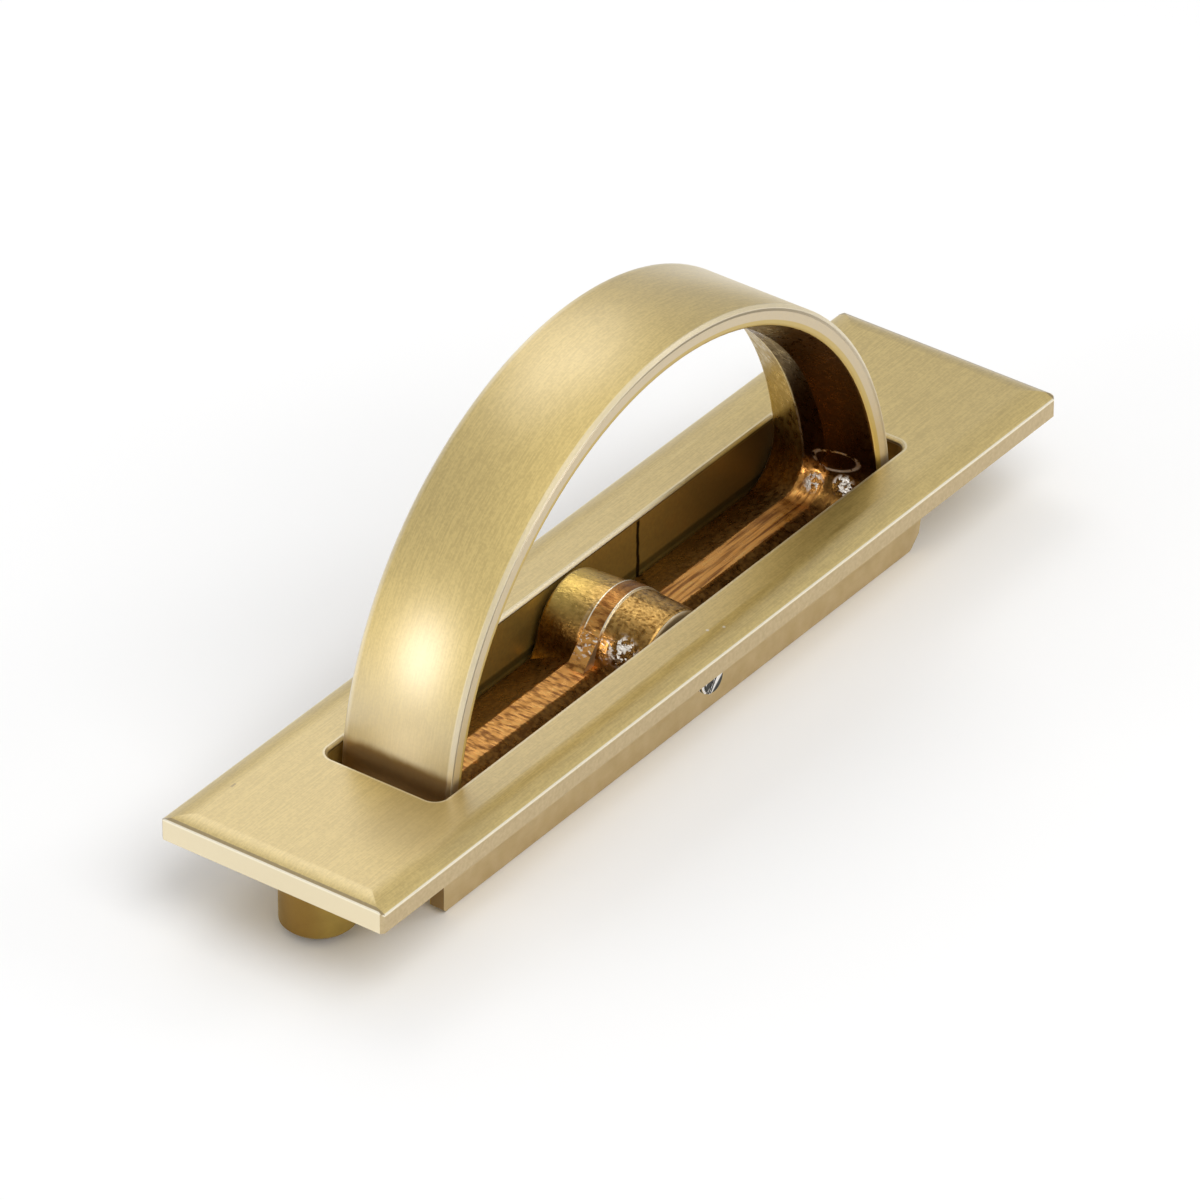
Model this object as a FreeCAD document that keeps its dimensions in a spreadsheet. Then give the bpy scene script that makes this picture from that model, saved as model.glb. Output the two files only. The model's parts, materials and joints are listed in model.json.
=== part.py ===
import FreeCAD, Part
import math
import os
import Sketcher
import PartDesign

os.makedirs("parts", exist_ok=True)
doc = FreeCAD.newDocument("recessed_pull")
V = FreeCAD.Vector

# Driving dimensions in millimetres and degrees. The pull rests on the lower
# edges of its two side walls, X runs along the plate, Y across it, Z is up.
SIZES = [
    ("plate_end_margin", 6.5, "from the middle of a post to the end of the faceplate"),
    ("plate_side_margin", 5.65, "from the slot to the long edge of the faceplate"),
    ("plate_thick", 2.6, "thickness at the middle of the faceplate"),
    ("plate_edge_drop", 0.75, "how far the top falls to the long edges"),
    ("plate_roll_width", 2.6, "width of the rolled border along the long sides"),
    ("end_roll_width", 1.9, "width of the rolled border along the short sides"),
    ("end_edge_drop", 0.5, "how far the top falls to the short edges"),
    ("plate_corner_break", 0.3, "bevel of the four upright corners"),
    ("handle_end_gap", 1.8, "gap between the handle and each end of the slot"),
    ("handle_side_gap", 0.45, "gap between the handle and each side wall"),
    ("slot_corner_r", 1.2, "rounding of the corners of the opening"),
    ("slot_edge_break", 0.25, "bevel round the top edge of the opening"),
    ("wall_thick", 1.5, "thickness of each side wall"),
    ("wall_below_bar", 0.9, "side walls below the flat bar when the handle is up"),
    ("wall_overrun", 1.2, "side wall beyond the end of the slot, at the plate"),
    ("wall_end_slope", 1.3, "how far the right end of a side wall leans in"),
    ("wall_corner_cut", 1.6, "cut at the lower right corner of the side walls"),
    ("wall_corner_break", 0.6, "small cut at the lower left corner of the side walls"),
    ("wall_edge_r", 0.5, "rounding of the lower edges of the side walls"),
    ("post_to_wall", 4.05, "gap between a post and the end of a side wall"),
    ("post_dia", 6.9, "threaded post diameter"),
    ("post_drop", 9.6, "plate top to the end of a post"),
    ("post_rim_break", 0.35, "bevel round the rim of a post"),
    ("post_root", 0.4, "cone that strengthens the root of a post"),
    ("wall_root_r", 0.6, "fillet between a side wall and the underside of the plate"),
    ("thread_hole_dia", 3.3, "core hole for the fixing thread"),
    ("thread_hole_depth", 7.0, "depth of the fixing hole from the post end"),
    ("thread_mouth_dia", 4.2, "countersink at the mouth of the fixing hole"),
    ("drill_point_angle", 118.0, "point angle left by the drill"),
    ("pivot_depth", 4.75, "plate top to the handle's turning axis"),
    ("ring_r", 33.0, "outer radius of the handle about its turning axis"),
    ("ring_width", 11.5, "width of the handle, along Y"),
    ("ring_edge_thick", 1.95, "handle thickness at its side faces"),
    ("ring_keel_thick", 3.45, "handle thickness at the ground strip"),
    ("keel_flat_width", 2.6, "width of the ground strip along the parting line"),
    ("bar_edge_thick", 3.8, "thickness of the flat bar at its side faces"),
    ("inner_corner_r", 3.0, "corner between arch and bar at the ground strip"),
    ("ring_corner_r", 1.4, "outer corner between arch and flat bar"),
    ("ring_outer_break", 0.25, "bevel of the outer edges of the handle"),
    ("ring_inner_break", 0.5, "rounding of the inner edges of the handle"),
    ("boss_end_r", 4.95, "pivot boss radius at its two ends"),
    ("boss_draft", 3.0, "draft of the boss towards its ends"),
    ("boss_root_r", 2.2, "fillet between boss and bar"),
    ("boss_root_dip", 0.15, "depth at which these fillets run out, below the edge of the bar"),
    ("strip_r", 5.35, "pivot boss radius at its ground strip"),
    ("strip_width", 1.8, "width of the ground strip on the boss"),
    ("strip_run", 1.5, "how far the ground flats at its foot run out from the boss"),
    ("screw_dia", 3.0, "thread diameter of the slotted pivot screws"),
    ("screw_proud", 2.4, "screw end outside the side wall"),
    ("screw_end_break", 0.25, "bevel round the slotted end"),
    ("screw_slot_width", 0.5, "width of the driver slot"),
    ("screw_slot_depth", 0.8, "depth of the driver slot"),
    ("screw_slot_tilt", 34.0, "angle of the driver slot from upright"),
    ("pin_dia", 2.2, "plain tip of the pivot screw that carries the handle"),
    ("pin_length", 3.6, "length of the tip inside the boss"),
    ("pin_end_break", 0.3, "bevel at the end of the tip"),
    ("bore_extra_depth", 0.8, "room left beyond the end of the tip"),
    ("run_gap", 0.05, "clearance between the tips and the boss that turns on them"),
    ("thread_gap", 0.02, "clearance drawn round a screw thread"),
]
# Sizes worked out from the driving dimensions.
DERIVED = [
    ("slot_length", "=2 * (ring_r + handle_end_gap)"),
    ("slot_width", "=ring_width + 2 * handle_side_gap"),
    ("wall_end_x", "=slot_length / 2 + wall_overrun"),
    ("wall_low_x", "=wall_end_x - wall_end_slope"),
    ("post_x", "=wall_end_x + post_to_wall + post_dia / 2"),
    ("plate_length", "=2 * (post_x + plate_end_margin)"),
    ("plate_width", "=slot_width + 2 * plate_side_margin"),
    ("wall_drop", "=2 * pivot_depth + wall_below_bar"),
    ("plate_top_z", "=wall_drop"),
    ("plate_roll_r", "=(plate_roll_width ^ 2 + plate_edge_drop ^ 2) / (2 * plate_edge_drop)"),
    ("end_roll_r", "=(end_roll_width ^ 2 + end_edge_drop ^ 2) / (2 * end_edge_drop)"),
    ("plate_low_z", "=wall_drop - plate_thick"),
    ("post_low_z", "=wall_drop - post_drop"),
    ("pivot_z", "=wall_drop - pivot_depth"),
    ("wall_outer_y", "=slot_width / 2 + wall_thick"),
    ("wall_pad_length", "=slot_width + 2 * wall_thick"),
    ("draft_run", "=(ring_width - keel_flat_width) / 2"),
    ("draft_angle", "=atan((ring_keel_thick - ring_edge_thick) / draft_run)"),
    ("bar_keel_thick", "=bar_edge_thick + ring_keel_thick - ring_edge_thick"),
    ("bar_half", "=sqrt(ring_r ^ 2 - pivot_depth ^ 2)"),
    ("opening_r", "=ring_r - ring_keel_thick"),
    ("floor_z", "=bar_keel_thick - pivot_depth"),
    ("bar_edge_z", "=bar_edge_thick - pivot_depth"),
    ("ring_edge_break_floor", "=bar_edge_z - bar_edge_thick / 2"),
    ("corner_floor_x", "=sqrt((opening_r - inner_corner_r) ^ 2 - (floor_z + inner_corner_r) ^ 2)"),
    ("corner_arc_x", "=corner_floor_x * opening_r / (opening_r - inner_corner_r)"),
    ("corner_arc_z", "=(floor_z + inner_corner_r) * opening_r / (opening_r - inner_corner_r)"),
    ("boss_foot_z", "=bar_edge_z - boss_root_dip"),
    ("boss_foot_x", "=sqrt((boss_end_r + boss_root_r) ^ 2 - (boss_foot_z + boss_root_r) ^ 2)"),
    ("boss_flank_x", "=boss_foot_x * boss_end_r / (boss_end_r + boss_root_r)"),
    ("boss_flank_z", "=(boss_foot_z + boss_root_r) * boss_end_r / (boss_end_r + boss_root_r)"),
    ("strip_foot_x", "=strip_r + strip_run"),
    ("strip_foot_r", "=sqrt(strip_foot_x ^ 2 + floor_z ^ 2)"),
    ("strip_turn", "=acos(strip_r / strip_foot_r) + atan(floor_z / strip_foot_x)"),
    ("strip_flank_x", "=strip_r * cos(strip_turn)"),
    ("strip_flank_z", "=strip_r * sin(strip_turn)"),
    ("screw_hole_dia", "=screw_dia + 2 * thread_gap"),
    ("screw_end_y", "=wall_outer_y + screw_proud"),
    ("screw_thread_length", "=screw_proud + wall_thick"),
    ("tip_end", "=screw_end_y - ring_width / 2 + pin_length"),
    ("bore_dia", "=pin_dia + 2 * run_gap"),
    ("bore_depth", "=pin_length + bore_extra_depth"),
    ("bore_point", "=bore_dia / 2 / tan(drill_point_angle / 2)"),
]

sheet = doc.addObject("Spreadsheet::Sheet", "sizes")
for row, (name, value, note) in enumerate(SIZES, start=1):
    sheet.set("A%d" % row, name)
    sheet.set("B%d" % row, "%g" % value)
    sheet.set("C%d" % row, note)
    sheet.setAlias("B%d" % row, name)
for row, (name, formula) in enumerate(DERIVED, start=len(SIZES) + 1):
    sheet.set("A%d" % row, name)
    sheet.set("B%d" % row, formula)
    sheet.setAlias("B%d" % row, name)
doc.recompute()


def size(name):
    """Value of a named size, in millimetres or degrees."""
    value = sheet.get(name)
    return float(getattr(value, "Value", value))


def bind(obj, **sizes):
    """Tie properties of an object to expressions of the size sheet."""
    for prop, text in sizes.items():
        obj.setExpression(prop, expr(text))


def expr(text):
    """Write an expression of plain size names as one of sheet cells."""
    names = [row[0] for row in SIZES] + [row[0] for row in DERIVED]
    out, word = [], ""
    for ch in text + " ":
        if ch.isalnum() or ch == "_":
            word += ch
            continue
        out.append("sizes." + word if word in names else word)
        out.append(ch)
        word = ""
    return "".join(out).strip()


def new_body(label):
    """A body whose label is also its file name."""
    body = doc.addObject("PartDesign::Body", label)
    body.Label = label
    return body


def sketch_on(body, plane, name, offset=None):
    """A sketch on one of the body's own origin planes, moved by a size."""
    planes = [item for item in body.Origin.OriginFeatures if item.Role == plane + "_Plane"]
    sketch = body.newObject("Sketcher::SketchObject", name)
    sketch.AttachmentSupport = [(planes[0], "")]
    sketch.MapMode = "FlatFace"
    if offset:
        sketch.setExpression("AttachmentOffset.Base.z", expr(offset))
    return sketch


def value_of(text):
    """Number that an expression of size names gives."""
    value = sheet.evalExpression(text)
    return float(getattr(value, "Value", value))


def pin(sketch, geo, point, x, y):
    """Hold one point of a sketch at a place named by two expressions."""
    for kind, axis, text in (("DistanceX", -2, x), ("DistanceY", -1, y)):
        if text == "0":
            sketch.addConstraint(Sketcher.Constraint("PointOnObject", geo, point, axis))
            continue
        made = Sketcher.Constraint(kind, -1, 1, geo, point, value_of(text))
        number = sketch.addConstraint(made)
        sketch.setExpression("Constraints[%d]" % number, expr(text))


def arc_between(start, end, radius, side):
    """Short arc from start to end, its centre left (+1) or right (-1) of the way."""
    chord = end - start
    rise = math.sqrt(radius ** 2 - (chord.Length / 2) ** 2)
    left = V(-chord.y, chord.x, 0).normalize()
    centre = (start + end) / 2 + left * rise * side
    first = math.atan2(start.y - centre.y, start.x - centre.x)
    last = math.atan2(end.y - centre.y, end.x - centre.x)
    if side < 0:
        first, last = last, first
    return Part.ArcOfCircle(Part.Circle(centre, V(0, 0, 1), radius), first, last)


def outline(sketch, steps):
    """Closed outline. A step is the (x, y) it goes to, or (x, y, radius, side)."""
    points = [V(value_of(step[0]), value_of(step[1]), 0) for step in steps]
    ends = []
    for number, step in enumerate(steps):
        start, end = points[number - 1], points[number]
        if len(step) == 2:
            geo = sketch.addGeometry(Part.LineSegment(start, end))
            ends.append((geo, 1, 2))
            continue
        radius, side = step[2:]
        geo = sketch.addGeometry(arc_between(start, end, value_of(radius), side))
        ends.append((geo, 1, 2) if side > 0 else (geo, 2, 1))
        held = sketch.addConstraint(Sketcher.Constraint("Radius", geo, value_of(radius)))
        sketch.setExpression("Constraints[%d]" % held, expr(radius))
    for number, step in enumerate(steps):
        geo, _, finish = ends[number]
        following, begin, _ = ends[(number + 1) % len(steps)]
        sketch.addConstraint(Sketcher.Constraint("Coincident", geo, finish, following, begin))
        pin(sketch, geo, finish, step[0], step[1])


def circle(sketch, x, y, diameter):
    """Circle at a named place with a named diameter."""
    centre = V(value_of(x), value_of(y), 0)
    geo = sketch.addGeometry(Part.Circle(centre, V(0, 0, 1), value_of(diameter) / 2))
    held = sketch.addConstraint(Sketcher.Constraint("Diameter", geo, value_of(diameter)))
    sketch.setExpression("Constraints[%d]" % held, expr(diameter))
    if x == "0" and y == "0":
        sketch.addConstraint(Sketcher.Constraint("Coincident", geo, 3, -1, 1))
    else:
        pin(sketch, geo, 3, x, y)


def rectangle(sketch, x0, x1, y0, y1):
    """Rectangle between four named sides."""
    outline(sketch, [(x1, y0), (x1, y1), (x0, y1), (x0, y0)])


def swept(body, kind, name, sketch, length=None, both_sides=False, back=False):
    """Pad or Pocket of a sketch; without a length it goes through everything."""
    feature = body.newObject("PartDesign::" + kind, name)
    feature.Profile = sketch
    sketch.Visibility = False
    feature.Midplane = both_sides
    feature.Reversed = back
    if length is None:
        feature.Type = "ThroughAll"
    else:
        feature.setExpression("Length", expr(length))
    feature.Refine = True
    doc.recompute()
    return feature


def turned(body, kind, name, sketch):
    """Revolution or Groove of a sketch about its own horizontal axis."""
    feature = body.newObject("PartDesign::" + kind, name)
    feature.Profile = sketch
    feature.ReferenceAxis = (sketch, ["H_Axis"])
    feature.Angle = 360
    sketch.Visibility = False
    doc.recompute()
    return feature


def edges_where(feature, test):
    """Names of the edges whose middle point and ends pass a test."""
    names = []
    for number, edge in enumerate(feature.Shape.Edges, start=1):
        middle = edge.valueAt((edge.FirstParameter + edge.LastParameter) / 2)
        if test(edge, middle):
            names.append("Edge%d" % number)
    return names


def eased(body, kind, name, amount, test):
    """Fillet or Chamfer, of a named size, on the edges that pass a test."""
    tip = body.Tip
    feature = body.newObject("PartDesign::" + kind, name)
    feature.Base = (tip, edges_where(tip, test))
    feature.setExpression("Radius" if kind == "Fillet" else "Size", expr(amount))
    doc.recompute()
    return feature


def near(a, b):
    """True where two numbers agree to a hundredth of a millimetre."""
    return abs(a - b) < 0.01


def lies_at(edge, axis, place):
    """True where every corner of an edge lies on a plane across one axis."""
    return all(near(getattr(vertex.Point, axis), place) for vertex in edge.Vertexes)


# Frame: one casting with faceplate, two side walls and two threaded posts.
frame = new_body("pull_frame")

section = sketch_on(frame, "YZ", "plate_section")
outline(section, [
    ("plate_width / 2", "plate_low_z"),
    ("plate_width / 2", "plate_top_z - plate_edge_drop"),
    ("plate_width / 2 - plate_roll_width", "plate_top_z", "plate_roll_r", 1),
    ("plate_roll_width - plate_width / 2", "plate_top_z"),
    ("-plate_width / 2", "plate_top_z - plate_edge_drop", "plate_roll_r", 1),
    ("-plate_width / 2", "plate_low_z"),
])
swept(frame, "Pad", "plate", section, "plate_length", both_sides=True)

for side, sign, turn in (("left", "-", 1), ("right", "", -1)):
    roll = sketch_on(frame, "XZ", "end_roll_section_" + side)
    outline(roll, [
        (sign + "(plate_length / 2 - end_roll_width)", "plate_top_z"),
        (sign + "plate_length / 2", "plate_top_z - end_edge_drop", "end_roll_r", turn),
        (sign + "(plate_length / 2 + end_roll_width)", "plate_top_z - end_edge_drop"),
        (sign + "(plate_length / 2 + end_roll_width)", "plate_top_z + end_roll_width"),
        (sign + "(plate_length / 2 - end_roll_width)", "plate_top_z + end_roll_width"),
    ])
    swept(frame, "Pocket", "end_roll_" + side, roll, "plate_width + plate_thick", both_sides=True)

eased(frame, "Chamfer", "plate_corners", "plate_corner_break", lambda edge, mid: (
    near(abs(mid.x), size("plate_length") / 2) and near(abs(mid.y), size("plate_width") / 2)
    and edge.BoundBox.ZLength > size("plate_thick") / 4 and edge.BoundBox.XLength < 0.01))

wall_side = sketch_on(frame, "XZ", "wall_outline")
outline(wall_side, [
    ("wall_low_x - wall_corner_cut", "0"),
    ("wall_low_x", "wall_corner_cut"),
    ("wall_end_x", "plate_low_z"),
    ("wall_end_x", "plate_low_z + plate_thick / 4"),
    ("-wall_end_x", "plate_low_z + plate_thick / 4"),
    ("-wall_end_x", "wall_corner_break"),
    ("wall_corner_break - wall_end_x", "0"),
])
swept(frame, "Pad", "wall_block", wall_side, "wall_pad_length", both_sides=True)

channel = sketch_on(frame, "XY", "channel_outline")
rectangle(channel, "-plate_length / 2", "plate_length / 2", "-slot_width / 2", "slot_width / 2")
swept(frame, "Pocket", "channel", channel, "plate_low_z", back=True)

slot = sketch_on(frame, "XY", "slot_outline", "plate_top_z")
outline(slot, [
    ("slot_length / 2 - slot_corner_r", "-slot_width / 2"),
    ("slot_length / 2", "slot_corner_r - slot_width / 2", "slot_corner_r", 1),
    ("slot_length / 2", "slot_width / 2 - slot_corner_r"),
    ("slot_length / 2 - slot_corner_r", "slot_width / 2", "slot_corner_r", 1),
    ("slot_corner_r - slot_length / 2", "slot_width / 2"),
    ("-slot_length / 2", "slot_width / 2 - slot_corner_r", "slot_corner_r", 1),
    ("-slot_length / 2", "slot_corner_r - slot_width / 2"),
    ("slot_corner_r - slot_length / 2", "-slot_width / 2", "slot_corner_r", 1),
])
swept(frame, "Pocket", "slot", slot)

posts = sketch_on(frame, "XY", "post_circles", "post_low_z")
circle(posts, "-post_x", "0", "post_dia")
circle(posts, "post_x", "0", "post_dia")
swept(frame, "Pad", "posts", posts, "plate_low_z - post_low_z + plate_thick / 4")

holes = sketch_on(frame, "XY", "fixing_hole_circles", "post_low_z")
circle(holes, "-post_x", "0", "thread_hole_dia")
circle(holes, "post_x", "0", "thread_hole_dia")
fixing = frame.newObject("PartDesign::Hole", "fixing_holes")
fixing.Profile = holes
holes.Visibility = False
doc.recompute()
fixing.DepthType = "Dimension"
bind(fixing, Diameter="thread_hole_dia", Depth="thread_hole_depth")
fixing.HoleCutType = "Countersink"
fixing.HoleCutCustomValues = True
bind(fixing, HoleCutDiameter="thread_mouth_dia")
fixing.HoleCutCountersinkAngle = 90
fixing.DrillPoint = "Angled"
bind(fixing, DrillPointAngle="drill_point_angle")
fixing.Reversed = True
doc.recompute()

pivots = sketch_on(frame, "XZ", "screw_hole_circle")
circle(pivots, "0", "pivot_z", "screw_hole_dia")
swept(frame, "Pocket", "screw_holes", pivots, "plate_width", both_sides=True)

eased(frame, "Fillet", "wall_roots", "wall_root_r", lambda edge, mid: (
    lies_at(edge, "z", size("plate_low_z")) and near(abs(mid.y), size("wall_outer_y"))
    and edge.BoundBox.XLength > size("post_dia")))
eased(frame, "Chamfer", "post_roots", "post_root", lambda edge, mid: (
    lies_at(edge, "z", size("plate_low_z")) and near(edge.BoundBox.XLength, size("post_dia"))))
eased(frame, "Chamfer", "post_rims", "post_rim_break", lambda edge, mid: (
    lies_at(edge, "z", size("post_low_z")) and near(edge.BoundBox.XLength, size("post_dia"))))
eased(frame, "Fillet", "wall_lower_edges", "wall_edge_r", lambda edge, mid: (
    lies_at(edge, "z", 0) and edge.BoundBox.XLength > size("slot_width")))
eased(frame, "Chamfer", "slot_edge", "slot_edge_break", lambda edge, mid: (
    lies_at(edge, "z", size("plate_top_z")) and abs(mid.y) < size("slot_width") / 2 + 0.01
    and abs(mid.x) < size("slot_length") / 2 + 0.01))

# Handle: one casting, an arch closed by a flat bar with the bored pivot boss.
# The body's own origin lies on the turning axis.
handle = new_body("pull_handle")
handle.setExpression("Placement.Base.z", expr("pivot_z"))

arch = sketch_on(handle, "XZ", "handle_outline")
outline(arch, [
    ("bar_half", "-pivot_depth"),
    ("ring_r", "0", "ring_r", 1),
    ("0", "ring_r", "ring_r", 1),
    ("-ring_r", "0", "ring_r", 1),
    ("-bar_half", "-pivot_depth", "ring_r", 1),
])
swept(handle, "Pad", "handle_blank", arch, "ring_width", both_sides=True)
eased(handle, "Fillet", "handle_corners", "ring_corner_r", lambda edge, mid: (
    near(abs(mid.x), size("bar_half")) and near(mid.z, -size("pivot_depth"))
    and edge.BoundBox.YLength > size("ring_width") / 2))


def draw_opening(sketch):
    """Opening inside the arch as it is at the strip ground along the parting line."""
    outline(sketch, [
        ("corner_floor_x", "floor_z"),
        ("corner_arc_x", "corner_arc_z", "inner_corner_r", 1),
        ("0", "opening_r", "opening_r", 1),
        ("-corner_arc_x", "corner_arc_z", "opening_r", 1),
        ("-corner_floor_x", "floor_z", "inner_corner_r", 1),
    ])


def draw_boss(sketch):
    """Round end of the boss, with the fillets that run out into the bar."""
    outline(sketch, [
        ("boss_foot_x", "-pivot_depth / 2"),
        ("boss_foot_x", "boss_foot_z"),
        ("boss_flank_x", "boss_flank_z", "boss_root_r", -1),
        ("0", "boss_end_r", "boss_end_r", 1),
        ("-boss_flank_x", "boss_flank_z", "boss_end_r", 1),
        ("-boss_foot_x", "boss_foot_z", "boss_root_r", -1),
        ("-boss_foot_x", "-pivot_depth / 2"),
    ])


def draw_boss_strip(sketch):
    """Ground strip over the boss, with a flat down each flank to the bar."""
    outline(sketch, [
        ("strip_foot_x", "-pivot_depth / 2"),
        ("strip_foot_x", "floor_z"),
        ("strip_flank_x", "strip_flank_z"),
        ("0", "strip_r", "strip_r", 1),
        ("-strip_flank_x", "strip_flank_z", "strip_r", 1),
        ("-strip_foot_x", "floor_z"),
        ("-strip_foot_x", "-pivot_depth / 2"),
    ])


through = sketch_on(handle, "XZ", "opening_at_ground_strip")
draw_opening(through)
swept(handle, "Pocket", "opening", through, "2 * ring_width", both_sides=True)

for side, offset, back in (("near", "keel_flat_width / 2", True), ("far", "-keel_flat_width / 2", False)):
    start = sketch_on(handle, "XZ", "opening_start_" + side, offset)
    draw_opening(start)
    draft = swept(handle, "Pocket", "draft_" + side, start, "draft_run + run_gap", back=back)
    draft.setExpression("TaperAngle", expr("draft_angle"))
    doc.recompute()

for side, offset, back in (("near", "ring_width / 2", True), ("far", "-ring_width / 2", False)):
    end = sketch_on(handle, "XZ", "boss_end_" + side, offset)
    draw_boss(end)
    half = swept(handle, "Pad", "boss_" + side, end, "ring_width / 2", back=back)
    half.setExpression("TaperAngle", expr("boss_draft"))
    doc.recompute()

ground = sketch_on(handle, "XZ", "boss_at_ground_strip")
draw_boss_strip(ground)
swept(handle, "Pad", "boss_strip", ground, "strip_width", both_sides=True)

bores = sketch_on(handle, "YZ", "pivot_bore_section")
for sign in ("-", ""):
    outline(bores, [
        (sign + "(ring_width / 2 + run_gap)", "0"),
        (sign + "(ring_width / 2 + run_gap)", "bore_dia / 2"),
        (sign + "(ring_width / 2 - bore_depth)", "bore_dia / 2"),
        (sign + "(ring_width / 2 - bore_depth - bore_point)", "0"),
    ])
turned(handle, "Groove", "pivot_bores", bores)

eased(handle, "Fillet", "opening_edges", "ring_inner_break", lambda edge, mid: (
    lies_at(edge, "y", size("ring_width") / 2) or lies_at(edge, "y", -size("ring_width") / 2))
    and math.hypot(mid.x, mid.z) < size("ring_r") - size("ring_edge_thick") / 2
    and mid.z > size("ring_edge_break_floor")
    and math.hypot(mid.x, mid.z) > size("bore_dia"))
eased(handle, "Chamfer", "outer_edges", "ring_outer_break", lambda edge, mid: (
    (lies_at(edge, "y", size("ring_width") / 2) or lies_at(edge, "y", -size("ring_width") / 2))
    and (math.hypot(mid.x, mid.z) > size("ring_r") - size("ring_edge_thick") / 2
         or mid.z < size("ring_edge_break_floor"))))

# Two slotted pivot screws, threaded through the side walls. Their plain tips
# carry the handle. Each lies along its own Y, slotted end at the origin.
for side, turn, seat in (("near", 0, "-"), ("far", 180, "")):
    screw = new_body("pivot_screw_" + side)
    tilt = FreeCAD.Rotation(V(0, 1, 0), size("screw_slot_tilt"))
    screw.Placement = FreeCAD.Placement(V(0, 0, 0), FreeCAD.Rotation(V(0, 0, 1), turn) * tilt)
    bind(screw, **{"Placement.Base.y": seat + "screw_end_y", "Placement.Base.z": "pivot_z"})
    form = sketch_on(screw, "YZ", "screw_section_" + side)
    outline(form, [
        ("0", "screw_dia / 2 - screw_end_break"),
        ("screw_end_break", "screw_dia / 2"),
        ("screw_thread_length", "screw_dia / 2"),
        ("screw_thread_length", "pin_dia / 2"),
        ("tip_end - pin_end_break", "pin_dia / 2"),
        ("tip_end", "pin_dia / 2 - pin_end_break"),
        ("tip_end", "0"),
        ("0", "0"),
    ])
    turned(screw, "Revolution", "screw_form_" + side, form)
    groove = sketch_on(screw, "XZ", "driver_slot_" + side)
    rectangle(groove, "-screw_slot_width / 2", "screw_slot_width / 2", "-screw_dia", "screw_dia")
    swept(screw, "Pocket", "driver_slot_cut_" + side, groove, "screw_slot_depth")

doc.recompute()

# Every feature is checked before the pieces are written.
for obj in doc.Objects:
    assert "Invalid" not in obj.State and "Error" not in obj.State, obj.Name
for body in doc.findObjects("PartDesign::Body"):
    assert not body.Shape.isNull() and body.Shape.isValid(), body.Label
    body.Shape.exportStep("parts/%s.step" % body.Label)
    print(body.Label, "%.1f mm3" % body.Shape.Volume)
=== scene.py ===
import json
import math

import bpy
from mathutils import Matrix, Vector


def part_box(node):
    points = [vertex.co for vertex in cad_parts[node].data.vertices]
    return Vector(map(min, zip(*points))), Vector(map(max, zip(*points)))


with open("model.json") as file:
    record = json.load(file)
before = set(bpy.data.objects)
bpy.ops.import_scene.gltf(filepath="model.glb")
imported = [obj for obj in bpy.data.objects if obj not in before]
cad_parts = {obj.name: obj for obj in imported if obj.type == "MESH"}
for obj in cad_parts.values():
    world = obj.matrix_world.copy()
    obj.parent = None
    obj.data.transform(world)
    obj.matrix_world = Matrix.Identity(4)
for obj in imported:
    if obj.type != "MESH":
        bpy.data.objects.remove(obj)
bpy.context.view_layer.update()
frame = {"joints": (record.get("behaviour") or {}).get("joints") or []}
MM = 0.001

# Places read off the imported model, in metres.
FRAME_LOW, FRAME_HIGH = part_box("pull_frame")
HANDLE_LOW, HANDLE_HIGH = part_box("pull_handle")
SCREW_LOW, SCREW_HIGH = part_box("pivot_screw_near")
PIVOT_Z = frame["joints"][0]["pos_m"][2]
PLATE_TOP = FRAME_HIGH[2]
PLATE_HALF_X = FRAME_HIGH[0]
PLATE_HALF_Y = FRAME_HIGH[1]
RING_R = HANDLE_HIGH[2] - PIVOT_Z
HANDLE_HALF_Y = HANDLE_HIGH[1]

# Widths and depths of the finishes.
PLATE_THICK = 2.6 * MM
PLATE_EDGE_DROP = 0.75 * MM
END_EDGE_DROP = 0.5 * MM
SLOT_HALF_Y = HANDLE_HALF_Y + 0.45 * MM
SLOT_HALF_X = RING_R + 1.8 * MM
SLOT_CORNER_R = 1.2 * MM
# Width of the painted highlight along the plate's arrises.
ARRIS_WIDTH = 0.16 * MM
RAW_DEPTH = 0.6 * MM
GROUND_HALF_Y = 1.3 * MM
THREAD_PITCH = 0.5 * MM

# Camera: the photograph's angle, found from the edges of the plate and the arch.
AZIMUTH = math.radians(-53.85)
ELEVATION = math.radians(33.89)
ROLL = math.radians(0.26)
DISTANCE = 0.9535
FOCAL_PIXELS = 10928
IMAGE_PIXELS = 1200
AIM = Vector((-1.63 * MM, 1.08 * MM, PLATE_TOP))

# Colours of the metal, linear; some of them are painted highlights, painted shade, painted sheen and painted light on
# lit faces.
BRASS_PALE = (0.74, 0.56, 0.17)
BRASS_DEEP = (0.60, 0.435, 0.108)
BRASS_SANDED = (0.68, 0.55, 0.33)
BRASS_FLANK = (0.50, 0.38, 0.205)
# Painted sheen: paler colour for the lower legs, standing in for the white veil round the lamp's highlight.
BRASS_LEG_SHEEN = (0.58, 0.49, 0.31)
# Painted light: the walls under the plate paler than the posts, standing in for light from the floor.
BRASS_WALL_LIT = (0.50, 0.365, 0.165)
# Painted light for the faces turned along x.
BRASS_END_LIT = (0.84, 0.74, 0.52)
BRASS_SIDE = (0.62, 0.52, 0.36)
BRASS_OLIVE = (0.34, 0.23, 0.06)
BRASS_SLOT = (0.70, 0.50, 0.13)
BRASS_RAW = (0.24, 0.125, 0.03)
# Dark tone of the raw cast brass inside the handle, and the colour of painted shade lines on the plate.
BRASS_DARK_TONE_AND_SHADE = (0.12, 0.055, 0.013)
# Painted shade for the near facets inside the legs.
BRASS_NEAR_SHADE = (0.06, 0.026, 0.007)
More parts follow.
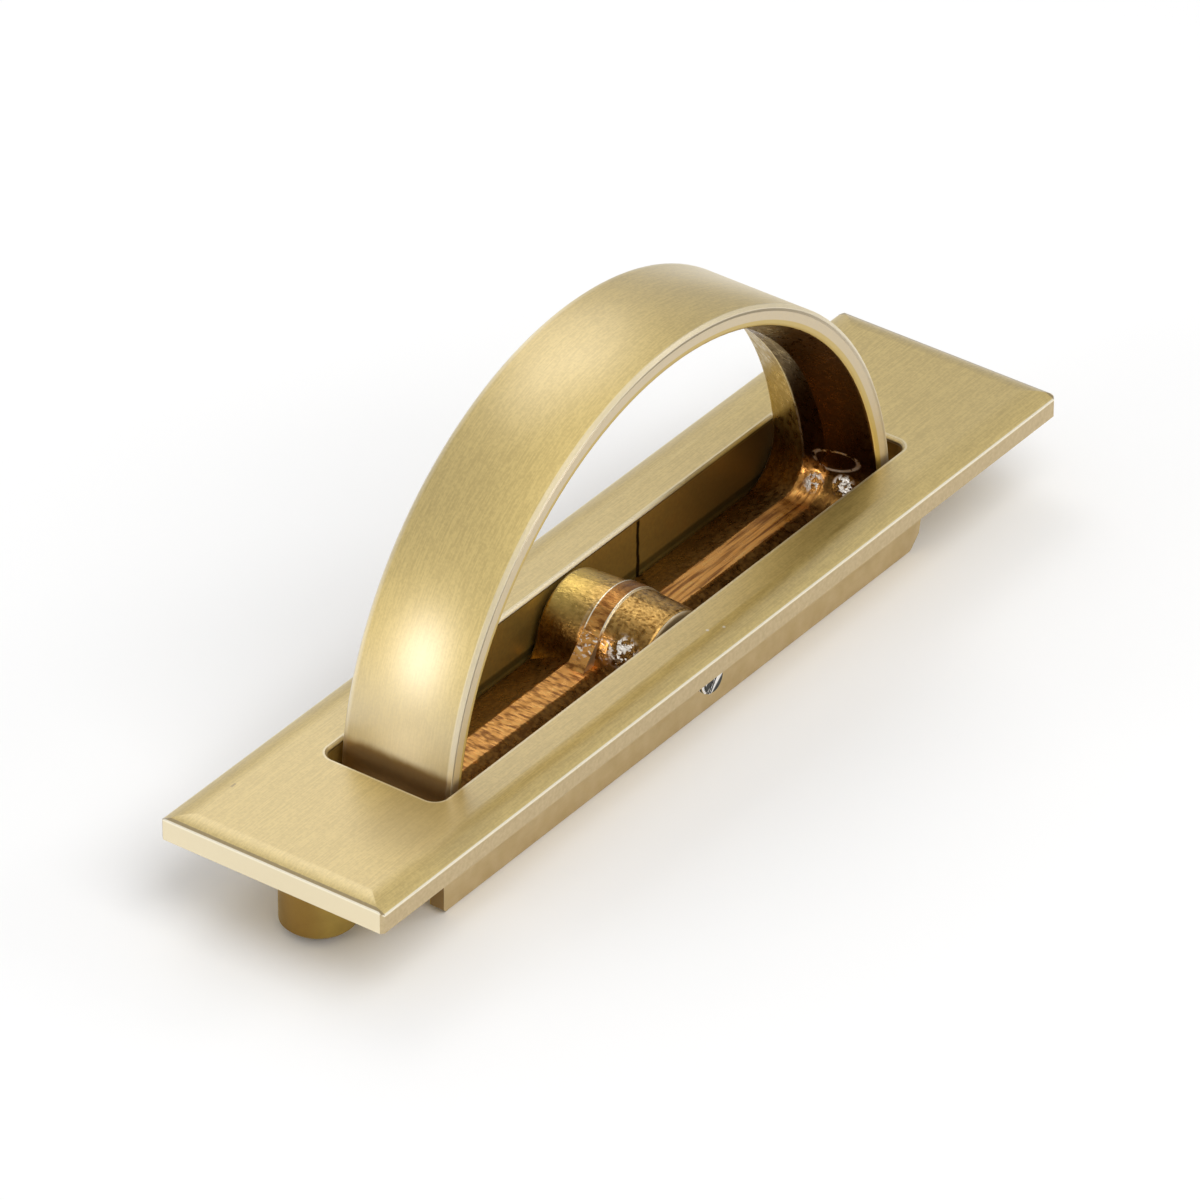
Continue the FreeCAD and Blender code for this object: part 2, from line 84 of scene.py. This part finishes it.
# Painted highlight colour for arrises, edges, the keel and the ridge over the boss.
BRASS_HIGHLIGHT = (0.95, 0.88, 0.70)
COPPER = (0.64, 0.31, 0.08)
GOLD = (0.66, 0.41, 0.13)
COPPER_DARK = (0.23, 0.092, 0.022)
# Colour of the dark stain on the far wall, and of a painted shadow line in the slot.
STAIN_AND_SHADE = (0.04, 0.022, 0.006)
# Painted reflection of the dark slot on the legs.
SLOT_REFLECTION_BROWN = (0.20, 0.085, 0.014)
GLINT = (0.95, 0.92, 0.86)
STEEL_PALE = (0.90, 0.89, 0.87)
STEEL_DARK = (0.05, 0.05, 0.045)

# Lacquer over the brass.
LACQUER_INDEX = 2.2
LACQUER_ROUGH = 0.32

# Marks of casting and use that the photograph shows, at rest, together with the places of painted glints, a painted
# shadow line and a painted reflection.
WALL_END_X = 36.0 * MM
CROWN_R = 27.0 * MM
EDGE_THICK = 1.95 * MM
KEEL_THICK = 3.45 * MM
INNER_BREAK = 0.5 * MM
SLOT_BREAK = 0.25 * MM
STRIP_HALF_Y = 0.9 * MM
STRIP_R = 5.35 * MM
STAIN_X = 11.0 * MM
# Places and reaches of painted glints.
GLINTS = [
    ((-4.4 * MM, -3.3 * MM, 8.2 * MM), 1.8 * MM),
    ((28.4 * MM, -0.3 * MM, 7.5 * MM), 1.2 * MM),
    ((29.3 * MM, -3.1 * MM, 7.6 * MM), 1.2 * MM),
]
PIT_Y = -2.0 * MM
PIT_Z = 9.8 * MM
PIT_R = 2.1 * MM
# Height of the bar's edge, where a painted shadow line runs on the slot walls.
BAR_EDGE_Z = 4.7 * MM
BAR_LOW_Z = HANDLE_LOW[2]
PLATE_SPECKS = [(0.15 * MM, -9.2 * MM, PLATE_TOP), (1.5 * MM, -10.0 * MM, PLATE_TOP)]
NICK_X = -43.0 * MM
NICK_Y = 9.4 * MM
SCORE_PITCH = 1.8 * MM
SPECK_PLACE = (27.7 * MM, -3.0 * MM, 16.2 * MM)
# Place and size of a painted reflection of the handle's leg on the plate.
LEG_REFLECTION_PLACE = (-37.5 * MM, -6.5 * MM, PLATE_TOP)
LEG_REFLECTION_R = 7.5 * MM


def direction(azimuth, elevation):
    """Unit vector from the object towards a viewer."""
    flat = math.cos(elevation)
    return Vector((math.sin(azimuth) * flat, -math.cos(azimuth) * flat, math.sin(elevation)))


def make_camera():
    data = bpy.data.cameras.new("camera")
    data.sensor_width = 36
    data.lens = data.sensor_width * FOCAL_PIXELS / IMAGE_PIXELS
    data.clip_start = 0.01
    camera = bpy.data.objects.new("camera", data)
    bpy.context.scene.collection.objects.link(camera)
    back = direction(AZIMUTH, ELEVATION)
    turn = back.to_track_quat("Z", "Y").to_matrix() @ Matrix.Rotation(ROLL, 3, "Z")
    camera.matrix_world = Matrix.Translation(AIM + back * DISTANCE) @ turn.to_4x4()
    bpy.context.scene.camera = camera


class Nodes:
    """Short names for the node calls of one material."""

    def __init__(self, name):
        self.material = bpy.data.materials.new(name)
        self.material.use_nodes = True
        self.tree = self.material.node_tree
        self.tree.nodes.clear()
        self.output = self.add("ShaderNodeOutputMaterial")
        self.shader = self.add("ShaderNodeBsdfPrincipled")
        self.link(self.shader.outputs["BSDF"], self.output.inputs["Surface"])
        coordinates = self.add("ShaderNodeTexCoord")
        self.place = coordinates.outputs["Object"]
        self.x, self.y, self.z = self.split(self.place)
        self.nx, self.ny, self.nz = self.split(coordinates.outputs["Normal"])

    def add(self, kind, **settings):
        node = self.tree.nodes.new(kind)
        for key, value in settings.items():
            setattr(node, key, value)
        return node

    def link(self, out, into):
        self.tree.links.new(out, into)

    def put(self, socket, value):
        if isinstance(value, bpy.types.NodeSocket):
            self.link(value, socket)
        else:
            socket.default_value = value

    def set(self, name, value):
        self.put(self.shader.inputs[name], value)

    def split(self, vector):
        node = self.add("ShaderNodeSeparateXYZ")
        self.link(vector, node.inputs[0])
        return node.outputs

    def math(self, kind, a, b=0.0):
        node = self.add("ShaderNodeMath", operation=kind)
        for socket, value in zip(node.inputs, (a, b)):
            self.put(socket, value)
        return node.outputs[0]

    def vector(self, x, y, z):
        node = self.add("ShaderNodeCombineXYZ")
        for socket, value in zip(node.inputs, (x, y, z)):
            self.put(socket, value)
        return node.outputs[0]

    def scaled(self, x, y, z):
        """Place on the piece, drawn out by a number of waves per metre along each axis."""
        parts = (self.math("MULTIPLY", part, waves) for part, waves in ((self.x, x), (self.y, y), (self.z, z)))
        return self.vector(*parts)

    def noise(self, where, detail=2.0, rough=0.5):
        node = self.add("ShaderNodeTexNoise")
        self.link(where, node.inputs["Vector"])
        node.inputs["Scale"].default_value = 1.0
        node.inputs["Detail"].default_value = detail
        node.inputs["Roughness"].default_value = rough
        return node.outputs[0]

    def ramp(self, value, low, high, to_low=0.0, to_high=1.0):
        node = self.add("ShaderNodeMapRange", interpolation_type="SMOOTHSTEP")
        for socket, item in zip(node.inputs, (value, low, high, to_low, to_high)):
            self.put(socket, item)
        return node.outputs[0]

    def band(self, value, middle, half, soft):
        """1 within half of the middle, falling to 0 over a soft edge."""
        away = self.math("ABSOLUTE", self.math("SUBTRACT", value, middle))
        return self.ramp(away, half, half + soft, 1.0, 0.0)

    def all_of(self, *masks):
        total = masks[0]
        for mask in masks[1:]:
            total = self.math("MULTIPLY", total, mask)
        return total

    def apart(self, place):
        """Distance from a named place."""
        node = self.add("ShaderNodeVectorMath", operation="DISTANCE")
        self.link(self.place, node.inputs[0])
        node.inputs[1].default_value = place
        return node.outputs["Value"]

    def mix(self, factor, a, b):
        node = self.add("ShaderNodeMix", data_type="RGBA")
        self.put(node.inputs["Factor"], factor)
        for socket, value in ((node.inputs[6], a), (node.inputs[7], b)):
            self.put(socket, value if isinstance(value, bpy.types.NodeSocket) else (*value, 1))
        return node.outputs[2]

    def blend(self, factor, a, b):
        """Plain number between two others."""
        node = self.add("ShaderNodeMix", data_type="FLOAT")
        for socket, value in zip(node.inputs[:4], (factor, None, a, b)):
            if value is not None:
                self.put(socket, value)
        return node.outputs[0]

    def bump(self, height, strength, distance, over=None):
        """Relief of a height in 0..1 times a distance, over an earlier relief if there is one."""
        node = self.add("ShaderNodeBump")
        self.put(node.inputs["Strength"], strength)
        node.inputs["Distance"].default_value = distance
        self.link(height, node.inputs["Height"])
        if over:
            self.link(over, node.inputs["Normal"])
        return node.outputs[0]

    def brushed_across(self, axis, turn, amount):
        """Highlights drawn out across the brushing, as fine parallel scratches do."""
        tangent = self.add("ShaderNodeTangent", direction_type="RADIAL", axis=axis)
        self.link(tangent.outputs[0], self.shader.inputs["Tangent"])
        self.set("Anisotropic Rotation", turn)
        self.set("Anisotropic", amount)


def brushed(n, where):
    """Colour and height of fine short scratches; where runs along and across them."""
    strokes = n.blend(0.4, n.noise(where, 2.0), n.noise(n.scaled(3800, 3800, 3800), 1.0))
    return n.mix(n.ramp(strokes, 0.34, 0.66), BRASS_DEEP, BRASS_PALE), strokes


def lacquered(n, rough, bare):
    """Satin metal under clear lacquer, but for its bare places."""
    n.set("Metallic", 1.0)
    n.set("Roughness", rough)
    n.set("Coat Weight", n.ramp(bare, 0.0, 1.0, 1.0, 0.0))
    n.set("Coat IOR", LACQUER_INDEX)
    n.set("Coat Roughness", LACQUER_ROUGH)


def frame_material():
    """Satin brass, brushed along the plate, lacquered; raw brass in the slot and below; with painted highlights on the
    edges, painted shade lines, a painted reflection of the handle's leg, and painted light and shade on the walls and
    end faces.
    """
    n = Nodes("satin_brass")
    wide = n.math("ABSOLUTE", n.y)
    long = n.math("ABSOLUTE", n.x)
    satin, strokes = brushed(n, n.scaled(420, 8500, 8500))
    grain = n.noise(n.scaled(2600, 2600, 2600))
    upright = n.ramp(n.math("ABSOLUTE", n.nz), 0.5, 0.25, 0.0, 1.0)
    outside = n.ramp(wide, SLOT_HALF_Y + 0.8 * MM, SLOT_HALF_Y + 1.6 * MM)
    # Painted reflection: a dark olive patch on the plate where the handle's leg is reflected.
    leg_reflection = n.ramp(n.apart(LEG_REFLECTION_PLACE), 0.2 * LEG_REFLECTION_R, 1.1 * LEG_REFLECTION_R, 0.45, 0.0)
    satin = n.mix(leg_reflection, satin, BRASS_OLIVE)
    colour = n.mix(n.all_of(upright, outside), satin, n.mix(grain, BRASS_FLANK, BRASS_SANDED))
    # Painted light: faces turned along x made paler, standing in for light from the floor.
    colour = n.mix(n.ramp(n.math("ABSOLUTE", n.nx), 0.7, 0.9), colour, BRASS_END_LIT)

    # Painted highlight: bright lines along the plate's long and end arrises and round the slot's rim.
    arris_y = n.math("SUBTRACT", wide, PLATE_HALF_Y)
    arris_z = n.math("SUBTRACT", n.z, PLATE_TOP - PLATE_EDGE_DROP)
    arris = n.math("ADD", n.math("ABSOLUTE", arris_y), n.math("ABSOLUTE", arris_z))
    end_y = n.math("SUBTRACT", long, PLATE_HALF_X)
    end_z = n.math("SUBTRACT", n.z, PLATE_TOP - END_EDGE_DROP)
    end = n.math("ADD", n.math("ABSOLUTE", end_y), n.math("ABSOLUTE", end_z))
    arris_highlight = n.ramp(n.math("MINIMUM", arris, end), 0.5 * ARRIS_WIDTH, 1.5 * ARRIS_WIDTH, 1.0, 0.0)
    past_x = n.math("MAXIMUM", n.math("SUBTRACT", long, SLOT_HALF_X - SLOT_CORNER_R), 0.0)
    past_y = n.math("MAXIMUM", n.math("SUBTRACT", wide, SLOT_HALF_Y - SLOT_CORNER_R), 0.0)
    corner = n.math("SQRT", n.math("ADD", n.math("MULTIPLY", past_x, past_x), n.math("MULTIPLY", past_y, past_y)))
    from_slot = n.math("SUBTRACT", corner, SLOT_CORNER_R)
    within = n.ramp(from_slot, 0.6 * MM, 1.0 * MM, 1.0, 0.0)
    rim = n.all_of(n.band(from_slot, 1.1 * SLOT_BREAK, 0.5 * SLOT_BREAK, 0.06 * MM),
                   n.ramp(n.z, PLATE_TOP - 0.7 * SLOT_BREAK, PLATE_TOP - 0.5 * SLOT_BREAK))
    colour = n.mix(n.math("MAXIMUM", arris_highlight, n.math("MULTIPLY", rim, 0.4)), colour, BRASS_HIGHLIGHT)
    # Painted shade: a dark line just inside each end edge of the plate and a dark line under the slot's edge.
    end_line = n.all_of(n.ramp(end_y, -0.42 * MM, -0.34 * MM), n.ramp(end_y, -0.14 * MM, -0.08 * MM, 1.0, 0.0),
                        n.ramp(n.nz, 0.4, 0.6))
    slot_line = n.all_of(within, n.band(n.z, PLATE_TOP - 1.3 * SLOT_BREAK, 0.1 * MM, 0.05 * MM))
    colour = n.mix(n.math("MULTIPLY", n.math("MAXIMUM", end_line, slot_line), 0.6), colour, BRASS_DARK_TONE_AND_SHADE)

    patches = n.noise(n.scaled(500, 500, 500), 4.0)
    # Painted light: the walls get a paler colour than the posts, standing in for light from the floor.
    wall = n.mix(patches, BRASS_WALL_LIT, BRASS_SANDED)
    post = n.mix(n.math("MULTIPLY", patches, 0.6), BRASS_OLIVE, BRASS_SLOT)
    raw = n.mix(n.ramp(long, WALL_END_X + 1 * MM, WALL_END_X + 2 * MM), wall, post)
    # Painted shade: faces of the walls and posts turned along x darkened.
    raw = n.mix(n.ramp(n.math("ABSOLUTE", n.nx), 0.5, 1.0, 0.0, 0.7), raw, BRASS_RAW)
    below = n.ramp(n.z, PLATE_TOP - PLATE_THICK - 0.1 * MM, PLATE_TOP - PLATE_THICK + 0.05 * MM, 1.0, 0.0)
    colour = n.mix(below, colour, raw)
    inside = n.all_of(n.ramp(wide, SLOT_HALF_Y + 0.1 * MM, SLOT_HALF_Y, 0.0, 1.0),
                      n.ramp(n.z, PLATE_TOP - RAW_DEPTH, PLATE_TOP - RAW_DEPTH / 2, 1.0, 0.0),
                      n.ramp(long, WALL_END_X, WALL_END_X + 1 * MM, 1.0, 0.0))
    slot = n.mix(n.math("MULTIPLY", grain, 0.4), BRASS_SLOT, BRASS_RAW)
    slot = n.mix(n.ramp(n.x, 8 * MM, 30 * MM, 0.0, 0.75), slot, BRASS_RAW)
    # Painted shadow: a dark line along the slot walls at the height of the bar's edge.
    slot = n.mix(n.math("MULTIPLY", n.band(n.z, BAR_EDGE_Z + 0.1 * MM, 0.15 * MM, 0.4 * MM), 0.6), slot, STAIN_AND_SHADE)
    colour = n.mix(inside, colour, slot)
    ragged = n.math("ADD", n.x, n.math("MULTIPLY", patches, 0.5 * MM))
    crack = n.all_of(inside, n.band(ragged, STAIN_X + 0.25 * MM, 0.12 * MM, 0.2 * MM), n.ramp(n.y, 5 * MM, 6 * MM))
    colour = n.mix(crack, colour, STAIN_AND_SHADE)
    nick = n.math("MAXIMUM", n.math("ABSOLUTE", n.math("SUBTRACT", n.x, NICK_X)),
                  n.math("MULTIPLY", n.math("ABSOLUTE", n.math("SUBTRACT", n.y, NICK_Y)), 3.0))
    colour = n.mix(n.ramp(nick, 0.2 * MM, 0.4 * MM, 0.6, 0.0), colour, BRASS_RAW)
    for place in PLATE_SPECKS:
        colour = n.mix(n.ramp(n.apart(place), 0.08 * MM, 0.2 * MM, 0.8, 0.0), colour, GLINT)
    n.set("Base Color", colour)
    bare = n.math("MAXIMUM", n.math("MAXIMUM", inside, below), n.math("MULTIPLY", upright, 0.8))
    lacquered(n, n.ramp(strokes, 0.2, 0.8, 0.48, 0.56), bare)
    n.brushed_across("X", 0.0, 0.3)
    n.set("Normal", n.bump(n.blend(upright, strokes, grain), 0.15, 0.03 * MM))
    return n.material


def handle_material():
    """Satin brass, brushed round the arch, with a painted sheen on the lower legs and painted highlights on the
    arrises; raw, dark and scratched inside, with painted shade, painted reflections, painted highlights and painted
    glints.
    """
    n = Nodes("handle_brass")
    rise = n.math("SUBTRACT", n.z, PIVOT_Z)
    radius = n.math("SQRT", n.math("ADD", n.math("MULTIPLY", n.x, n.x), n.math("MULTIPLY", rise, rise)))
    angle = n.math("ARCTAN2", rise, n.x)
    wide = n.math("ABSOLUTE", n.y)
    long = n.math("ABSOLUTE", n.x)
    around = n.vector(n.math("MULTIPLY", angle, 22.0), n.math("MULTIPLY", n.y, 8500), n.math("MULTIPLY", radius, 8500))
    satin, strokes = brushed(n, around)
    grain = n.noise(n.scaled(2600, 2600, 2600))
    side = n.ramp(n.math("ABSOLUTE", n.ny), 0.6, 0.9)
    flat, _ = brushed(n, n.scaled(420, 8500, 8500))
    satin = n.mix(n.ramp(rise, 0.0, -1 * MM, 0.0, 1.0), satin, flat)
    # Painted sheen: the lower legs turned paler, standing in for the white veil round the lamp's highlight.
    satin = n.mix(n.all_of(n.ramp(rise, 17 * MM, 4 * MM, 0.0, 0.65), n.ramp(rise, 0.0, 2 * MM)), satin, BRASS_LEG_SHEEN)
    colour = n.mix(side, satin, n.mix(grain, BRASS_SIDE, BRASS_SANDED))
    rounding = RING_R - EDGE_THICK + INNER_BREAK
    golden = n.band(radius, rounding - 0.4 * MM, 0.4 * MM, 0.12 * MM)
    colour = n.mix(golden, colour, BRASS_DEEP)
    foot = n.math("ADD", n.z, n.math("MULTIPLY", n.noise(n.scaled(600, 600, 600)), 0.5 * MM))
    back = n.ramp(n.z, BAR_LOW_Z + 0.4 * MM, BAR_LOW_Z + 0.2 * MM, 0.0, 1.0)
    facing = n.all_of(n.ramp(side, 0.2, 0.5, 1.0, 0.0), n.ramp(back, 0.0, 1.0, 1.0, 0.0))
    # Painted highlight: bright lines along the far and near outer arrises of the ring.
    far_arris = n.all_of(n.ramp(n.y, HANDLE_HALF_Y - 0.7 * MM, HANDLE_HALF_Y - 0.3 * MM),
                         n.ramp(radius, RING_R - 0.7 * MM, RING_R - 0.4 * MM))
    near_arris = n.band(n.math("SUBTRACT", n.math("SUBTRACT", radius, RING_R), n.math("ADD", n.y, HANDLE_HALF_Y)),
                        -0.25 * MM, 0.08 * MM, 0.08 * MM)
    colour = n.mix(n.math("MULTIPLY", n.math("MAXIMUM", far_arris, near_arris), 0.4), colour, BRASS_HIGHLIGHT)
    # Painted reflection: a dark brown band round the legs where they pass into the slot, standing in for the dark slot
    # reflected there; it is left without lacquer.
    slot_reflection = n.all_of(n.ramp(foot, PLATE_TOP + 0.6 * MM, PLATE_TOP + 1.7 * MM, 1.0, 0.0),
                       n.ramp(foot, PLATE_TOP - 3.0 * MM, PLATE_TOP - 1.5 * MM), facing)
    colour = n.mix(n.math("MULTIPLY", slot_reflection, 0.75), colour, SLOT_REFLECTION_BROWN)

    inside = n.all_of(n.ramp(radius, RING_R - 0.9 * MM, RING_R - 1.2 * MM, 0.0, 1.0), facing)
    lumps = n.noise(n.scaled(1500, 1500, 1500), 3.0)
    patches = n.noise(n.scaled(260, 420, 260), 3.0)
    cast = n.mix(n.ramp(n.math("ADD", n.math("MULTIPLY", grain, 0.6), n.math("MULTIPLY", patches, 0.4)), 0.35, 0.65),
                 BRASS_DARK_TONE_AND_SHADE, BRASS_RAW)
    # Painted reflection: the far facets inside the arch turned golden, standing in for the plate reflected there.
    arch = n.ramp(rise, 2 * MM, 8 * MM)
    cast = n.mix(n.all_of(arch, n.ramp(n.y, 1.2 * MM, 1.6 * MM)), cast, n.mix(patches, BRASS_OLIVE, BRASS_DEEP))
    # Painted shade: the near facets inside the legs darkened.
    near_facet_shade = n.all_of(n.ramp(long, 18 * MM, 24 * MM), n.ramp(rise, 1 * MM, 4 * MM), n.ramp(n.y, 1.5 * MM, 1.1 * MM, 0.0, 1.0))
    cast = n.mix(n.math("MULTIPLY", near_facet_shade, 0.85), cast, BRASS_NEAR_SHADE)
    # Painted highlight: a bright line along the keel's edge inside the arch.
    keel = n.all_of(arch, n.band(n.y, 1.3 * MM, 0.08 * MM, 0.12 * MM))
    cast = n.mix(n.math("MULTIPLY", keel, 0.9), cast, BRASS_HIGHLIGHT)

    ticks = n.noise(n.scaled(3600, 900, 900), 2.0)
    lines = n.noise(n.scaled(160, 2600, 2600), 2.0)
    scratches = n.blend(n.ramp(n.x, -2 * MM, 2 * MM), ticks, lines)
    ground = n.mix(n.ramp(scratches, 0.32, 0.56), COPPER_DARK, COPPER)
    ground = n.mix(n.ramp(scratches, 0.58, 0.72, 0.0, 0.6), ground, GOLD)
    on_boss = n.all_of(n.ramp(long, 5.6 * MM, 6.4 * MM, 1.0, 0.0), n.ramp(rise, 0.5 * MM, 2.5 * MM))
    ground = n.mix(n.all_of(on_boss, n.ramp(rise, 3.5 * MM, 4.8 * MM, 0.0, 0.6)), ground, COPPER_DARK)
    scales = n.noise(n.scaled(3600, 2200, 3600), 3.0)
    scaly = n.mix(n.ramp(n.blend(0.35, scales, lumps), 0.34, 0.60), BRASS_RAW, GOLD)
    scaly = n.mix(n.ramp(n.y, 0.0, 5 * MM, 0.0, 0.7), scaly, BRASS_SLOT)
    cast = n.mix(n.all_of(on_boss, n.ramp(rise, 2.6 * MM, 5.2 * MM)), cast, scaly)
    edge = n.math("ADD", wide, n.math("MULTIPLY", n.math("SUBTRACT", lumps, 0.5), 1.2 * MM))
    strip = n.ramp(edge, GROUND_HALF_Y + 0.25 * MM, GROUND_HALF_Y - 0.1 * MM, 0.0, 1.0)
    low = n.ramp(rise, 3.2 * MM, 3.9 * MM, 1.0, 0.0)
    over_boss = n.all_of(n.ramp(wide, STRIP_HALF_Y + 0.05 * MM, STRIP_HALF_Y - 0.05 * MM, 0.0, 1.0), on_boss)
    flank = n.all_of(on_boss, n.ramp(n.x, -3.6 * MM, -4.2 * MM), n.band(n.y, -0.7 * MM, 1.4 * MM, 0.3 * MM))
    cast = n.mix(n.math("MAXIMUM", n.all_of(strip, low), n.math("MAXIMUM", over_boss, flank)), cast, ground)
    # Painted glints on the copper patch of the boss's flank.
    cast = n.mix(n.all_of(flank, n.ramp(scales, 0.57, 0.64), n.ramp(rise, 3.4 * MM, 2.6 * MM)), cast, GLINT)
    # Painted highlight: bright lines along the edges of the raised strip over the boss.
    proud = n.all_of(n.ramp(radius, STRIP_R - 0.3 * MM, STRIP_R - 0.15 * MM), n.ramp(rise, 3.0 * MM, 3.8 * MM))
    ridge = n.all_of(on_boss, proud, n.band(wide, STRIP_HALF_Y, 0.05 * MM, 0.1 * MM))
    cast = n.mix(ridge, cast, BRASS_HIGHLIGHT)
    # Painted highlight: a golden line along the bar's arrises.
    bar_arris = n.all_of(n.ramp(wide, HANDLE_HALF_Y - 0.2 * MM, HANDLE_HALF_Y - 0.1 * MM), n.ramp(rise, 1 * MM, 0.0, 0.0, 1.0))
    cast = n.mix(n.math("MULTIPLY", bar_arris, 0.8), cast, GOLD)
    colour = n.mix(inside, colour, cast)

    # Painted glints at the listed places inside the handle.
    bright = [n.ramp(n.apart(place), 0.4 * reach, reach, 1.0, 0.0) for place, reach in GLINTS]
    glint = n.math("MAXIMUM", n.math("MAXIMUM", bright[0], bright[1]), bright[2])
    colour = n.mix(n.all_of(inside, glint, n.ramp(lumps, 0.47, 0.55)), colour, GLINT)
    # A shallow pit in the leg, drawn as a ring of painted glints round its rim.
    aside = n.math("SUBTRACT", n.y, PIT_Y)
    above = n.math("MULTIPLY", n.math("SUBTRACT", n.z, PIT_Z), 2.0)
    around_pit = n.math("SQRT", n.math("ADD", n.math("MULTIPLY", aside, aside), n.math("MULTIPLY", above, above)))
    pit = n.all_of(n.band(around_pit, PIT_R, 0.1 * MM, 0.2 * MM), n.ramp(n.x, 25 * MM, 26 * MM))
    colour = n.mix(n.all_of(inside, pit, n.ramp(lumps, 0.40, 0.50)), colour, GLINT)
    speck = n.ramp(n.apart(SPECK_PLACE), 0.08 * MM, 0.16 * MM, 1.0, 0.0)
    colour = n.mix(speck, colour, GLINT)

    n.set("Base Color", colour)
    rough = n.blend(inside, n.ramp(strokes, 0.2, 0.8, 0.50, 0.58), n.ramp(lumps, 0.3, 0.7, 0.24, 0.44))
    lacquered(n, rough, n.math("MAXIMUM", n.math("MAXIMUM", inside, slot_reflection), n.math("MULTIPLY", side, 0.5)))
    n.brushed_across("Y", 0.25, 0.25)
    crown = n.math("MULTIPLY", n.math("MULTIPLY", n.y, n.y), -0.5 / (CROWN_R * MM))
    outer = n.ramp(radius, RING_R - 0.6 * MM, RING_R - 0.3 * MM)
    crowned = n.bump(n.math("MULTIPLY", crown, outer), 1.0, MM)
    n.set("Coat Normal", crowned)
    relief = n.blend(inside, n.blend(side, strokes, grain), scratches)
    fine = n.bump(relief, n.blend(inside, 0.15, 0.6), 0.04 * MM, crowned)
    relief = n.math("MAXIMUM", glint, n.math("MULTIPLY", on_boss, 0.2))
    n.set("Normal", n.bump(n.all_of(scales, inside, relief), 1.0, 0.3 * MM, fine))
    return n.material


def screw_material():
    """Plated steel: thread with a painted highlight on its crests and painted shade in its roots, and slanting scores
    across the end.
    """
    n = Nodes("screw_steel")
    turn = n.math("MULTIPLY", n.y, 2 * math.pi / THREAD_PITCH)
    thread = n.ramp(n.math("SINE", turn), -0.5, 0.5)
    end = n.ramp(n.math("ABSOLUTE", n.ny), 0.7, 0.9)
    slant = n.math("SUBTRACT", n.math("MULTIPLY", n.x, 0.8), n.math("SUBTRACT", n.z, PIVOT_Z))
    scores = n.ramp(n.math("SINE", n.math("MULTIPLY", slant, 2 * math.pi / SCORE_PITCH)), -0.25, 0.25)
    # Painted highlight on the thread's crests and painted shade in its roots.
    n.set("Base Color", n.mix(n.blend(end, thread, scores), STEEL_DARK, STEEL_PALE))
    n.set("Metallic", 1.0)
    n.set("Roughness", 0.22)
    n.set("Normal", n.bump(thread, n.blend(end, 0.8, 0.0), 0.25 * MM))
    return n.material


def dress(node, material):
    """Give a node its finish."""
    piece = bpy.data.objects[node]
    for slot in piece.material_slots:
        slot.material = material


def make_floor():
    mesh = bpy.data.meshes.new("floor")
    half = 2.0
    corners = [(-half, -half, 0), (half, -half, 0), (half, half, 0), (-half, half, 0)]
    mesh.from_pydata(corners, [], [(0, 1, 2, 3)])
    floor = bpy.data.objects.new("floor", mesh)
    bpy.context.scene.collection.objects.link(floor)
    n = Nodes("pale_floor")
    n.set("Base Color", (0.95, 0.95, 0.95, 1))
    n.set("Roughness", 0.9)
    mesh.materials.append(n.material)


def make_light(name, azimuth, elevation, distance, width, height, radiance):
    """Soft box of a given brightness, facing the object."""
    data = bpy.data.lights.new(name, "AREA")
    data.shape = "RECTANGLE"
    data.size = width
    data.size_y = height
    data.energy = radiance * math.pi * width * height
    lamp = bpy.data.objects.new(name, data)
    bpy.context.scene.collection.objects.link(lamp)
    away = direction(math.radians(azimuth), math.radians(elevation))
    lamp.matrix_world = Matrix.Translation(AIM + away * distance) @ away.to_track_quat("Z", "Y").to_matrix().to_4x4()


def make_world():
    world = bpy.data.worlds.new("studio")
    world.use_nodes = True
    background = world.node_tree.nodes["Background"]
    background.inputs["Color"].default_value = (1.0, 1.0, 1.0, 1)
    background.inputs["Strength"].default_value = 0.52
    bpy.context.scene.world = world
    bpy.context.scene.view_settings.view_transform = "Standard"


dress("pull_frame", frame_material())
dress("pull_handle", handle_material())
screw = screw_material()
dress("pivot_screw_near", screw)
dress("pivot_screw_far", screw)
make_floor()
make_world()
make_light("left_window", -117, 12, 0.8, 0.21, 0.23, 7.4)
make_light("front_box", -20, 56, 1.0, 0.8, 0.8, 2.8)
make_light("side_box", 48, 28, 0.9, 0.25, 0.25, 3.0)
make_light("back_window", 152, 57, 0.6, 0.30, 0.24, 1.1)
make_light("end_window", 141, 43, 0.26, 0.12, 0.14, 0.9)
make_camera()
